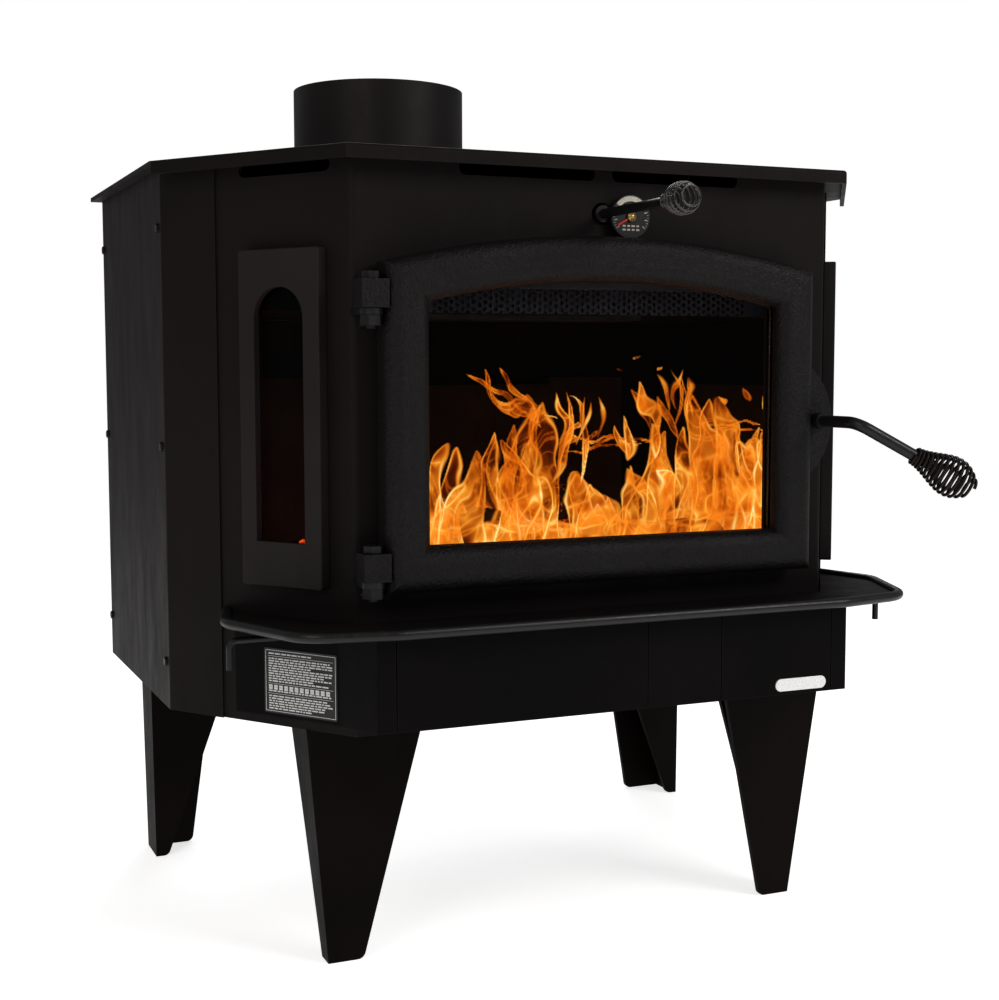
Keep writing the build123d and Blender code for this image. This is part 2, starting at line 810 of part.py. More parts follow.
with BuildPart() as box_front_panels:
    for start, end in zip(panel_seams, panel_seams[1:]):
        with Locations(
            ((start + end) / 2, front - box_front + box_sheet / 2, box_bottom + box_height / 2)
        ):
            Box(end - start - 1.2, box_sheet, box_height)
finish(box_front_panels, "box_front_panels")

with BuildPart() as box_floor:
    floor_left = [
        (-box_half + 4, front - box_front + box_sheet),
        bay_point(8, box_offset - box_sheet - 0.5),
        bay_point(142, box_offset - box_sheet - 0.5),
        bay_point(142, 0.2),
        (-front_half, front - 0.2),
    ]
    floor_points = floor_left + [(-x, y) for x, y in reversed(floor_left)]
    extrude(plan_face(floor_points, box_bottom), amount=box_sheet)
finish(box_floor, "box_floor")

with BuildPart() as rating_label:
    with BuildSketch(bay_plane(box_offset)):
        with Locations((-56, 315)):
            RectangleRounded(95, 68, 2)
    extrude(amount=0.5)
finish(rating_label, "rating_label")

with BuildPart() as badge_plate:
    with BuildSketch(front_plane(box_front)):
        with Locations((217, 288)):
            SlotOverall(66, 14)
    extrude(amount=1.5)
    fillet(badge_plate.faces().sort_by(Axis.Y)[0].edges(), 0.6)
finish(badge_plate, "badge_plate")

# ---------------------------------------------------------------- air control rods
with BuildPart() as left_air_rod:
    with BuildLine() as air_path:
        FilletPolyline(
            (-250, air_rod_y, air_rod_z),
            (-air_rod_end, air_rod_y, air_rod_z),
            (-air_rod_end, air_rod_y, air_rod_z - 30),
            radius=8,
        )
    with BuildSketch(Plane(origin=air_path.line @ 0, z_dir=air_path.line % 0)):
        Circle(air_rod_r)
    sweep()
finish(left_air_rod, "left_air_rod")

with BuildPart() as right_air_rod:
    mirror(left_air_rod.part, about=Plane.YZ)
finish(right_air_rod, "right_air_rod")

# ---------------------------------------------------------------- blower in the base
blower_y = 150.0
blower_z = 306.0
wheel_r = 28.0
wheel_length = 150.0

with BuildPart() as blower_housing:
    with Locations((0, blower_y, blower_z)):
        Box(wheel_length + 16, 84, 72)
    with Locations(Location((0, blower_y, blower_z), (0, 90, 0))):
        Cylinder(wheel_r + 3, wheel_length + 6, mode=Mode.SUBTRACT)
        Cylinder(4.6, wheel_length + 80, mode=Mode.SUBTRACT)
    with Locations((0, blower_y - 30, blower_z + 14)):
        Box(wheel_length + 2, 60, 24, mode=Mode.SUBTRACT)
    with Locations((0, blower_y + 40, blower_z)):
        Box(wheel_length + 2, 40, 30, mode=Mode.SUBTRACT)
finish(blower_housing, "blower_housing")

with BuildPart() as blower_wheel:
    with BuildSketch(Plane.YZ.offset(-wheel_length / 2)):
        with Locations((blower_y, blower_z)):
            with PolarLocations(wheel_r - 5, 18):
                Rectangle(8, 1.6, rotation=35)
    extrude(amount=wheel_length)
    for end in (-wheel_length / 2, wheel_length / 2 - 3):
        with BuildSketch(Plane.YZ.offset(end)):
            with Locations((blower_y, blower_z)):
                Circle(wheel_r)
        extrude(amount=3)
    with Locations(Location((0, blower_y, blower_z), (0, 90, 0))):
        Cylinder(4, wheel_length + 14)
finish(blower_wheel, "blower_wheel")

with BuildPart() as blower_motor:
    with Locations(Location((wheel_length / 2 + 8 + 30, blower_y, blower_z), (0, 90, 0))):
        Cylinder(26, 60)
    fillet(blower_motor.edges().filter_by(GeomType.CIRCLE), 3)
finish(blower_motor, "blower_motor")

# ---------------------------------------------------------------- legs
def channel_section(height, ridge, sizes):
    """Channel section at one height: broad flange, side and narrow flange round the ridge corner."""
    ridge_x, ridge_y, turn = ridge
    broad, side, narrow = sizes
    inner = side - leg_t
    corners = (
        (0, 0), (broad, 0), (broad, leg_t), (leg_t, leg_t),
        (leg_t, inner), (narrow, inner), (narrow, side), (0, side),
    )
    return plan_face([(ridge_x + x, ridge_y + turn * y) for x, y in corners], height)


for name, (top_size, toe_size) in leg_sizes.items():
    ridge_x, ridge_y, turn = leg_tops[name]
    with BuildPart() as leg:
        loft([channel_section(0, leg_toes[name], toe_size),
              channel_section(body_bottom, leg_tops[name], top_size)], ruled=True)
        toe_ends = leg.faces().sort_by(Axis.Z)[0].edges().filter_by(Axis.Y).sort_by(Axis.X)[-2:]
        fillet(toe_ends, toe_r)
        with Locations((ridge_x + web_middle[0], ridge_y + turn * web_middle[1], body_bottom - leg_t / 2)):
            Box(*web_size, leg_t)
        for dx, dy in leg_bolt_spots:
            with Locations((ridge_x + dx, ridge_y + turn * dy, body_bottom)):
                Cylinder(bolt_hole_r, 30, mode=Mode.SUBTRACT)
    finish(leg, name)
    with BuildPart() as opposite_leg:
        mirror(leg.part, about=Plane.YZ)
    finish(opposite_leg, name.replace("left", "right"))

with BuildPart() as leg_bolts:
    for x, y in bolt_places:
        with Locations((x, y, body_bottom)):
            Cylinder(bolt_r, 30)
        with BuildSketch(Plane.XY.offset(body_bottom - leg_t)):
            with Locations((x, y)):
                RegularPolygon(bolt_head_r, 6)
        extrude(amount=-5.5)
        with BuildSketch(Plane.XY.offset(body_bottom + wall_t)):
            with Locations((x, y)):
                RegularPolygon(bolt_head_r, 6)
        extrude(amount=6.5)
finish(leg_bolts, "leg_bolts")
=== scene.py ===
import json
import math
import random

import bmesh
import bpy
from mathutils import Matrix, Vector, noise


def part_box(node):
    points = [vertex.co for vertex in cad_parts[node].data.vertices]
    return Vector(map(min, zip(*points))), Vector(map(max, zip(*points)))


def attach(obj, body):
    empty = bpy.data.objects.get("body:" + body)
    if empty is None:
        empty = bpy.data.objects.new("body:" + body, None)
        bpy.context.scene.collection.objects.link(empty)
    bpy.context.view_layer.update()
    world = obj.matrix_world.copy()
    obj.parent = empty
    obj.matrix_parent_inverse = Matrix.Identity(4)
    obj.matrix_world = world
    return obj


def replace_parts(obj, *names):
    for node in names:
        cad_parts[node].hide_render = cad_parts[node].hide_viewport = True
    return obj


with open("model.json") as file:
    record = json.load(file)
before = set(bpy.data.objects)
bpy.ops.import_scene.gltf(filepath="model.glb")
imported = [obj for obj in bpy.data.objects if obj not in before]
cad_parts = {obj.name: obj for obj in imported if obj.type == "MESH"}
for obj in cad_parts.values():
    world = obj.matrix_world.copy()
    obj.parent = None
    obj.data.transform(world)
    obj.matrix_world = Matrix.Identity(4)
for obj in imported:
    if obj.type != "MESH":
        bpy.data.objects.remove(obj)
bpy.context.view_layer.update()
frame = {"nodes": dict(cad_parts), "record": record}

# A wood burning stove. Metres, +Z up, the door faces -Y, the origin is on the floor under the body.
NODES = frame["nodes"]
COLLECTION = bpy.context.scene.collection
FASCIA_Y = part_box("front_fascia")[0][1]
UP = Vector((0, 0, 1))
RIGHT = Vector((1, 0, 0))
OUT_FRONT = Vector((0, -1, 0))


# ------------------------------------------------------------------ camera, stage and lights
def place_camera():
    """Low view from the front left, at about two thirds of the stove's height."""
    cam = bpy.data.objects.new("camera", bpy.data.cameras.new("camera"))
    COLLECTION.objects.link(cam)
    cam.location = (-0.764, FASCIA_Y - 1.494, 0.640)
    cam.rotation_euler = (math.radians(90 - 4.93), math.radians(0.1), math.radians(-23.3))
    cam.data.lens = 56.1
    cam.data.sensor_width = 36
    cam.data.clip_start = 0.05
    bpy.context.scene.camera = cam


def soft_light(name, place, aim, size, power, colour):
    """Rectangular studio light aimed at a point."""
    lamp = bpy.data.lights.new(name, "AREA")
    lamp.shape = "RECTANGLE"
    lamp.size, lamp.size_y = size
    lamp.energy = power
    lamp.color = colour
    light = bpy.data.objects.new(name, lamp)
    light.location = place
    light.rotation_euler = (Vector(aim) - Vector(place)).to_track_quat("-Z", "Y").to_euler()
    COLLECTION.objects.link(light)


def white_studio():
    """White backdrop all round that lights the room only dimly, so black paint stays black."""
    world = bpy.data.worlds.new("studio")
    world.use_nodes = True
    tree = world.node_tree
    glow = tree.nodes["Background"]
    glow.inputs["Color"].default_value = (1, 1, 1, 1)
    seen = tree.nodes.new("ShaderNodeLightPath").outputs["Is Camera Ray"]
    level = tree.nodes.new("ShaderNodeMapRange")
    level.inputs["To Min"].default_value = 0.30
    level.inputs["To Max"].default_value = 1.0
    tree.links.new(seen, level.inputs["Value"])
    tree.links.new(level.outputs["Result"], glow.inputs["Strength"])
    bpy.context.scene.world = world


def studio_floor(reach=3.2):
    """Pale paper floor."""
    mesh = bpy.data.meshes.new("studio_floor")
    corners = [(-reach, -reach, 0), (reach, -reach, 0), (reach, reach, 0), (-reach, reach, 0)]
    mesh.from_pydata(corners, [], [(0, 1, 2, 3)])
    floor = bpy.data.objects.new("studio_floor", mesh)
    COLLECTION.objects.link(floor)
    paper = bpy.data.materials.new("white_paper_floor")
    paper.use_nodes = True
    skin = paper.node_tree.nodes["Principled BSDF"].inputs
    skin["Base Color"].default_value = (0.72, 0.72, 0.72, 1)
    skin["Roughness"].default_value = 0.9
    skin["Specular IOR Level"].default_value = 0.1
    skin["Emission Color"].default_value = (1, 1, 1, 1)
    skin["Emission Strength"].default_value = 0.76
    mesh.materials.append(paper)


place_camera()
white_studio()
studio_floor()
soft_light("key_light", (1.6, -2.4, 2.2), (0, 0, 0.5), (1.4, 1.4), 40, (1.0, 0.97, 0.95))
soft_light("left_light", (-2.3, -2.0, 2.0), (-0.3, 0, 0.6), (1.2, 1.6), 20, (1.0, 0.90, 0.86))
soft_light("back_light", (0.9, 2.3, 2.4), (0, 0, 0.8), (1.6, 1.0), 30, (0.95, 0.97, 1.0))
bpy.context.scene.view_settings.view_transform = "Standard"
bpy.context.scene.view_settings.gamma = 0.86


# ------------------------------------------------------------------ finishes
class Finish:
    """A material with short ways to add nodes. Patterns read object coordinates, in metres."""

    def __init__(self, name):
        self.material = bpy.data.materials.new(name)
        self.material.use_nodes = True
        self.tree = self.material.node_tree
        self.nodes = self.tree.nodes
        self.skin = self.nodes["Principled BSDF"]
        self.place = self.node("ShaderNodeTexCoord").outputs["Object"]

    def node(self, kind, **inputs):
        """New node; underscores in input names stand for spaces."""
        made = self.nodes.new(kind)
        for key, value in inputs.items():
            self.feed(made.inputs[key.replace("_", " ")], value)
        return made

    def feed(self, socket, value):
        """Links an output or sets a value."""
        if isinstance(value, bpy.types.NodeSocket):
            self.tree.links.new(value, socket)
        else:
            socket.default_value = value

    def set(self, **values):
        """Sets or links inputs of the shader itself."""
        for key, value in values.items():
            self.feed(self.skin.inputs[key.replace("_", " ")], value)

    def noise(self, scale, detail=3.0, roughness=0.55, stretch=None):
        """Noise value, scale in features per metre."""
        vector = self.place
        if stretch:
            mapping = self.node("ShaderNodeMapping", Vector=self.place)
            mapping.inputs["Scale"].default_value = stretch
            vector = mapping.outputs["Vector"]
        made = self.node("ShaderNodeTexNoise", Vector=vector, Scale=scale, Detail=detail, Roughness=roughness)
        return made.outputs["Fac"]

    def ramp(self, value, stops, smooth=True):
        """Colour ramp through (position, colour) stops."""
        made = self.node("ShaderNodeValToRGB", Fac=value)
        made.color_ramp.interpolation = "EASE" if smooth else "LINEAR"
        marks = made.color_ramp.elements
        while len(marks) < len(stops):
            marks.new(0.5)
        for mark, (position, colour) in zip(marks, stops):
            mark.position = position
            mark.color = (*colour, 1)
        return made.outputs["Color"]

    def span(self, value, low, high, start=0.3, end=0.7):
        """Remaps a value from start..end to low..high and holds it there."""
        made = self.node("ShaderNodeMapRange", Value=value)
        made.inputs["From Min"].default_value = start
        made.inputs["From Max"].default_value = end
        made.inputs["To Min"].default_value = low
        made.inputs["To Max"].default_value = high
        return made.outputs["Result"]

    def mix(self, factor, first, second):
        """Mixes two colours."""
        made = self.nodes.new("ShaderNodeMix")
        made.data_type = "RGBA"
        for index, value in ((0, factor), (6, first), (7, second)):
            self.feed(made.inputs[index], value)
        return made.outputs[2]

    def bump(self, height, depth, under=None):
        """Bump of a given depth in metres, over another bump if one is given."""
        made = self.node("ShaderNodeBump", Height=height)
        made.inputs["Strength"].default_value = 1.0
        made.inputs["Distance"].default_value = depth
        if under:
            self.feed(made.inputs["Normal"], under)
        return made.outputs["Normal"]

    def math(self, operation, first, second):
        """Maths on two values."""
        made = self.nodes.new("ShaderNodeMath")
        made.operation = operation
        self.feed(made.inputs[0], first)
        self.feed(made.inputs[1], second)
        return made.outputs["Value"]

    # Edge mask for lighter edges: partly worn paint, partly a painted edge highlight.
    def highlight_and_wear_edges(self, radius=0.0016):
        """0 on flats, near 1 on sharp edges: how far the plain normal is from a rounded one."""
        rounded = self.node("ShaderNodeBevel")
        rounded.samples = 4
        rounded.inputs["Radius"].default_value = radius
        plain = self.node("ShaderNodeNewGeometry").outputs["Normal"]
        dot = self.nodes.new("ShaderNodeVectorMath")
        dot.operation = "DOT_PRODUCT"
        self.feed(dot.inputs[0], rounded.outputs["Normal"])
        self.feed(dot.inputs[1], plain)
        return self.span(dot.outputs["Value"], 1.0, 0.0, 0.75, 0.99)


def tint(colour, share):
    """Colour made lighter or darker, with alpha."""
    return (*[min(1.0, c * share) for c in colour], 1)


# Colour of lighter edges: partly worn paint, partly a painted edge highlight.
PAINT_EDGE_HIGHLIGHT_AND_WEAR = (0.03, 0.028, 0.027)
PAINT_GRAIN_DEPTH = 0.0001


def black_paint(name, colour, rough, grain_scale=900, gloss=0.22, edge_highlight_and_wear_colour=PAINT_EDGE_HIGHLIGHT_AND_WEAR):
    """High-temperature stove paint: fine sprayed grain, faint hand marks, lighter at the edges as worn paint
    and a painted edge highlight.
    """
    paint = Finish(name)
    speck = paint.noise(grain_scale, 2, 0.7)
    smear = paint.noise(26.0, 5, 0.7, (1, 1, 0.35))
    tone = paint.mix(paint.span(paint.noise(5.0, 4), 0.0, 1.0), tint(colour, 0.8), tint(colour, 1.25))
    tone = paint.mix(paint.span(speck, 0.0, 0.2, 0.55, 0.8), tone, tint(colour, 2.6))
    dust = paint.span(paint.noise(2.6, 6, 0.7), 0.0, 0.16, 0.45, 0.75)
    tone = paint.mix(dust, tone, (0.018, 0.0135, 0.0120, 1))
    # Edges lighter in patches: partly worn thin paint, partly a painted edge highlight.
    thin = paint.math("MULTIPLY", paint.highlight_and_wear_edges(), paint.span(paint.noise(70.0, 4), 0.15, 0.75))
    tone = paint.mix(thin, tone, (*edge_highlight_and_wear_colour, 1))
    shine = paint.math("ADD", paint.span(smear, rough - 0.07, rough + 0.09), paint.span(speck, -0.05, 0.05))
    paint.set(Base_Color=tone, Roughness=shine, Specular_IOR_Level=gloss)
    paint.set(Normal=paint.bump(paint.noise(9.0, 2), 0.0010, paint.bump(speck, PAINT_GRAIN_DEPTH)))
    return paint.material


def cast_iron(name):
    """Painted sand casting: pebbled grain of two sizes under a satin black coat."""
    iron = Finish(name)
    pebble = iron.node("ShaderNodeTexVoronoi", Vector=iron.place, Scale=470.0)
    pebble.feature = "SMOOTH_F1"
    coarse = iron.noise(210.0, 4, 0.65)
    height = iron.math("ADD", iron.math("MULTIPLY", pebble.outputs["Distance"], 0.6), coarse)
    shades = [
        (0.3, (0.0036, 0.0029, 0.0030)),
        (0.62, (0.0072, 0.0056, 0.0057)),
        (0.8, (0.014, 0.0112, 0.0112)),
    ]
    # Edges lighter in patches: partly worn paint, partly a painted edge highlight.
    edge = iron.math("MULTIPLY", iron.highlight_and_wear_edges(0.003), iron.span(iron.noise(60.0, 4), 0.0, 0.45))
    iron.set(
        Base_Color=iron.mix(edge, iron.ramp(coarse, shades), (0.03, 0.028, 0.027, 1)),
        Roughness=iron.span(iron.noise(14.0, 5), 0.40, 0.55),
        Specular_IOR_Level=0.24,
        Normal=iron.bump(height, 0.0013),
    )
    return iron.material


def satin_steel(name, colour, rough, metal=0.0, gloss=0.5):
    """Satin-coated or bare bar and wire, with faint drawing marks."""
    bar = Finish(name)
    scuff = bar.noise(160.0, 5, 0.7, (1, 1, 0.3))
    bar.set(
        Base_Color=bar.mix(bar.span(scuff, 0, 1), tint(colour, 0.75), tint(colour, 1.3)),
        Metallic=metal,
        Specular_IOR_Level=gloss,
        Roughness=bar.span(scuff, rough - 0.08, rough + 0.1),
        Normal=bar.bump(bar.noise(700.0, 2), 0.00006),
    )
    return bar.material


def firebrick(name):
    """Pressed brick: sandy grain, pits, smoke browning and scorched patches."""
    brick = Finish(name)
    sand = brick.noise(420.0, 6, 0.75)
    cloud = brick.noise(13.0, 5, 0.6)
    tones = [(0.25, (0.018, 0.0095, 0.006)), (0.5, (0.040, 0.022, 0.0135)), (0.75, (0.075, 0.043, 0.027))]
    smoke = brick.span(brick.noise(6.0, 4), 0.1, 0.75)
    tone = brick.mix(smoke, brick.ramp(cloud, tones), (0.008, 0.006, 0.005, 1))
    tone = brick.mix(brick.span(sand, 0, 0.5, 0.5, 0.8), tone, (0.10, 0.064, 0.043, 1))
    brick.set(Base_Color=tone, Roughness=0.93, Normal=brick.bump(brick.math("ADD", sand, cloud), 0.0016))
    brick.set(Specular_IOR_Level=0.1)
    return brick.material


def firebox_plate(name):
    """Sooted plate with a faint grey ash bloom."""
    plate = Finish(name)
    bloom = plate.noise(18.0, 6, 0.7)
    tones = [
        (0.3, (0.0008, 0.0008, 0.0011)),
        (0.6, (0.0022, 0.0020, 0.0027)),
        (0.85, (0.0070, 0.0064, 0.0068)),
    ]
    plate.set(
        Base_Color=plate.ramp(bloom, tones),
        Roughness=plate.span(bloom, 0.75, 0.95),
        Specular_IOR_Level=0.08,
        Normal=plate.bump(plate.noise(300.0, 4), 0.0003),
    )
    return plate.material


def window_pane(name):
    """Clear glass ceramic with a trace of smoke film."""
    pane = Finish(name)
    film = pane.noise(22.0, 4)
    pane.set(
        Base_Color=pane.mix(pane.span(film, 0.0, 0.3, 0.5, 0.8), (0.96, 0.95, 0.94, 1), (0.6, 0.55, 0.48, 1)),
        Roughness=pane.span(film, 0.0, 0.03, 0.4, 0.8),
        Transmission_Weight=1.0,
        Specular_IOR_Level=0.25,
        IOR=1.12,
    )
    return pane.material


def braided_rope(name):
    """Knitted glass fibre, grey with soot."""
    rope = Finish(name)
    weave = rope.node("ShaderNodeTexWave", Vector=rope.place, Scale=190.0, Distortion=5.0, Detail=2.0)
    weave.bands_direction = "DIAGONAL"
    grime = rope.span(rope.noise(30.0, 5), 0, 0.8)
    rope.set(
        Base_Color=rope.mix(grime, (0.035, 0.031, 0.027, 1), (0.008, 0.007, 0.006, 1)),
        Roughness=0.95,
        Sheen_Weight=0.3,
        Normal=rope.bump(weave.outputs["Fac"], 0.0012),
    )
    return rope.material


def honeycomb_ceramic(name):
    """Cordierite blackened by smoke, browner where it burns clean."""
    stone = Finish(name)
    tones = [(0.3, (0.004, 0.0035, 0.0035)), (0.7, (0.020, 0.017, 0.015))]
    stone.set(
        Base_Color=stone.ramp(stone.noise(40.0, 5), tones),
        Roughness=0.9,
        Normal=stone.bump(stone.noise(600.0, 3), 0.0004),
    )
    return stone.material


def plain_coat(name, colour, rough=0.4, metal=0.0, grain=500.0, gloss=0.5):
    """Small painted or bare part with light handling marks."""
    coat = Finish(name)
    mark = coat.noise(grain, 4, 0.7)
    coat.set(
        Base_Color=coat.mix(coat.span(mark, 0, 1), tint(colour, 0.85), tint(colour, 1.12)),
        Roughness=coat.span(mark, rough - 0.08, rough + 0.12),
        Metallic=metal,
        Specular_IOR_Level=gloss,
        Normal=coat.bump(mark, 0.00004),
    )
    return coat.material


BODY_BLACK = black_paint("matt_stove_black", (0.0096, 0.0068, 0.0066), 0.56, gloss=0.13)
FRAME_BLACK = black_paint("window_frame_black", (0.0180, 0.0138, 0.0140), 0.52, gloss=0.2)
# Box under the shelf: black paint made darker as painted shade from the shelf above.
BOX_BLACK_PAINTED_SHADE = black_paint("box_black_painted_shade", (0.0030, 0.0024, 0.0024), 0.52, gloss=0.07)
FLUE_BLACK = black_paint("flue_pipe_black", (0.0115, 0.0088, 0.0086), 0.46, 700, gloss=0.24)
# Lighter leg edges: partly worn paint, partly a painted edge highlight.
LEG_EDGE_HIGHLIGHT_AND_WEAR = (0.012, 0.009, 0.008)
# Legs: real brown-black tint, made darker than the body paint as painted shade under the stove.
LEG_BROWN_PAINTED_SHADE = black_paint("leg_brown_painted_shade", (0.0034, 0.0018, 0.0012), 0.55, gloss=0.07, edge_highlight_and_wear_colour=LEG_EDGE_HIGHLIGHT_AND_WEAR)
DOOR_BLACK = cast_iron("sand_cast_door_black")
BAR_BLACK = satin_steel("satin_black_bar", (0.0075, 0.0075, 0.0088), 0.36, gloss=0.42)
FASTENER_BLACK = satin_steel("oiled_black_fastener", (0.018, 0.0165, 0.0165), 0.42, 0.5)
COIL_DARK = satin_steel("oxidised_spring_wire", (0.012, 0.008, 0.006), 0.40, 0.3, gloss=0.3)
COIL_NICKEL = satin_steel("worn_nickel_wire", (0.085, 0.083, 0.082), 0.22, 0.9)
BRICK = firebrick("smoked_firebrick")
FIREBOX = firebox_plate("sooted_plate")
PANE = window_pane("glass_ceramic_pane")
ROPE = braided_rope("glass_fibre_rope")
HONEYCOMB = honeycomb_ceramic("honeycomb_ceramic")
DIAL_BLACK = plain_coat("black_dial_enamel", (0.008, 0.008, 0.008), 0.3)
DIAL_CREAM = plain_coat("cream_dial_ink", (0.50, 0.47, 0.40), 0.45)
POINTER_RED = plain_coat("red_pointer_paint", (0.62, 0.02, 0.012), 0.35)
BRASS = plain_coat("worn_brass", (0.50, 0.34, 0.13), 0.3, 0.85)
LABEL_FOIL = plain_coat("black_label_foil", (0.010, 0.010, 0.010), 0.4)
LABEL_INK = plain_coat("pale_label_ink", (0.62, 0.62, 0.61), 0.5)
BADGE_SILVER = plain_coat("satin_badge_plate", (0.80, 0.80, 0.80), 0.34, 0.35)
SCREEN_BLUE = plain_coat("blued_screen_sheet", (0.0105, 0.0100, 0.0175), 0.5, 0.2, gloss=0.3)
ZINC = plain_coat("zinc_plated_sheet", (0.30, 0.30, 0.31), 0.38, 0.8)

SLOT_FINISH = {
    "stove_paint": BODY_BLACK,
    "flue_paint": FLUE_BLACK,
    "cast_door": DOOR_BLACK,
    "firebox_steel": FIREBOX,
    "satin_rod": BAR_BLACK,
    "black_hardware": FASTENER_BLACK,
    "spring_wire": COIL_DARK,
    "nickel": COIL_NICKEL,
    "glass": PANE,
    "rope": ROPE,
    "firebrick": BRICK,
    "catalyst_ceramic": HONEYCOMB,
    "dial": DIAL_BLACK,
    "needle_red": POINTER_RED,
    "label": LABEL_FOIL,
    "badge": BADGE_SILVER,
    "blower_steel": ZINC,
}
for part in frame["record"]["subparts"]:
    carried = NODES[part["node"]]
    carried.data.materials.clear()
    carried.data.materials.append(SLOT_FINISH[part["material_slot"]])
NODE_FINISH = {
    "front_left_leg": LEG_BROWN_PAINTED_SHADE, "front_right_leg": LEG_BROWN_PAINTED_SHADE,
    "rear_left_leg": LEG_BROWN_PAINTED_SHADE, "rear_right_leg": LEG_BROWN_PAINTED_SHADE,
    "left_box_side": BOX_BLACK_PAINTED_SHADE, "right_box_side": BOX_BLACK_PAINTED_SHADE, "box_front_panels": BOX_BLACK_PAINTED_SHADE,
    "left_window_frame": FRAME_BLACK, "right_window_frame": FRAME_BLACK,
    "flame_guard_screen": SCREEN_BLUE,
}
for node_name, node_finish in NODE_FINISH.items():
    NODES[node_name].data.materials[0] = node_finish


# ------------------------------------------------------------------ pieces grown by geometry nodes
class Grower:
    """A geometry node tree, built by calls, that grows one piece. Values are node outputs or numbers."""

    def __init__(self, name):
        self.tree = bpy.data.node_groups.new(name, "GeometryNodeTree")
        self.start = self.tree.nodes.new("NodeGroupInput")
        self.end = self.tree.nodes.new("NodeGroupOutput")
        self.keys = {}

    def size(self, name, value, kind="Float"):
        """Named input with its value for this piece."""
        socket = self.tree.interface.new_socket(name, in_out="INPUT", socket_type=f"NodeSocket{kind}")
        self.keys[socket.identifier] = value
        return self.start.outputs[name]

    def node(self, kind, feed=None, **settings):
        """New node: settings are its properties, feed maps input names or numbers to values."""
        made = self.tree.nodes.new(kind)
        for key, value in settings.items():
            setattr(made, key, value)
        for key, value in (feed or {}).items():
            if isinstance(value, bpy.types.NodeSocket):
                self.tree.links.new(value, made.inputs[key])
            else:
                made.inputs[key].default_value = value
        return made

    def math(self, operation, first, second=0.0):
        """Maths on numbers."""
        return self.node("ShaderNodeMath", {0: first, 1: second}, operation=operation).outputs[0]

    def vector(self, operation, first, second):
        """Maths on vectors; the second of SCALE is a number."""
        feed = {0: first, ("Scale" if operation == "SCALE" else 1): second}
        return self.node("ShaderNodeVectorMath", feed, operation=operation).outputs[0]

    def random(self, low, high, seed, pick=None):
        """Random number for each element."""
        feed = {"Min": low, "Max": high, "Seed": seed}
        made = self.node("FunctionNodeRandomValue", None, data_type="FLOAT")
        for socket in made.inputs:
            if socket.enabled and socket.name in feed:
                socket.default_value = feed[socket.name]
        if pick:
            self.tree.links.new(pick, next(s for s in made.inputs if s.enabled and s.name == "ID"))
        return next(s for s in made.outputs if s.enabled)

    def grow(self, name, shape, body, finish, smooth=True):
        """Ends the tree, applies it to a plain mesh and makes that a piece on a body."""
        self.tree.interface.new_socket("Geometry", in_out="OUTPUT", socket_type="NodeSocketGeometry")
        coat = self.size("Finish", finish, "Material")
        real = self.node("GeometryNodeRealizeInstances", {"Geometry": shape}).outputs["Geometry"]
        coated = self.node("GeometryNodeSetMaterial", {"Geometry": real, "Material": coat})
        self.tree.links.new(coated.outputs["Geometry"], self.end.inputs[0])
        seed_mesh = bpy.data.meshes.new("seed")
        maker = bpy.data.objects.new("maker", seed_mesh)
        COLLECTION.objects.link(maker)
        growth = maker.modifiers.new("growth", "NODES")
        growth.node_group = self.tree
        for key, value in self.keys.items():
            growth[key] = value
        graph = bpy.context.evaluated_depsgraph_get()
        grown = bpy.data.meshes.new_from_object(maker.evaluated_get(graph), depsgraph=graph)
        maker.modifiers.remove(growth)
        bpy.data.objects.remove(maker)
        grown.name = name
        return piece_from(name, grown, body, finish, smooth)


def piece_from(name, mesh, body, finish, smooth=True):
    """Links a finished mesh as a piece that rides on a body."""
    mesh.materials.clear()
    mesh.materials.append(finish)
    mesh.polygons.foreach_set("use_smooth", [smooth] * len(mesh.polygons))
    piece = bpy.data.objects.new(name, mesh)
    COLLECTION.objects.link(piece)
    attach(piece, body)
    return piece


def closed_mesh(name, shape):
    """Mesh from a bmesh with its faces turned outwards."""
    bmesh.ops.recalc_face_normals(shape, faces=shape.faces)
    mesh = bpy.data.meshes.new(name)
    shape.to_mesh(mesh)
    shape.free()
    return mesh


# ------------------------------------------------------------------ wound coil grips
POINTS_PER_TURN = 28
WIRE_SIDES = 10
GRIP_ELBOW = Vector((0.252, FASCIA_Y - 0.106, 0.578))
GRIP_ALONG = Vector((0.82, -0.30, -0.49)).normalized()
GRIP_START = 0.0725
END_ALLOWANCE = 0.004


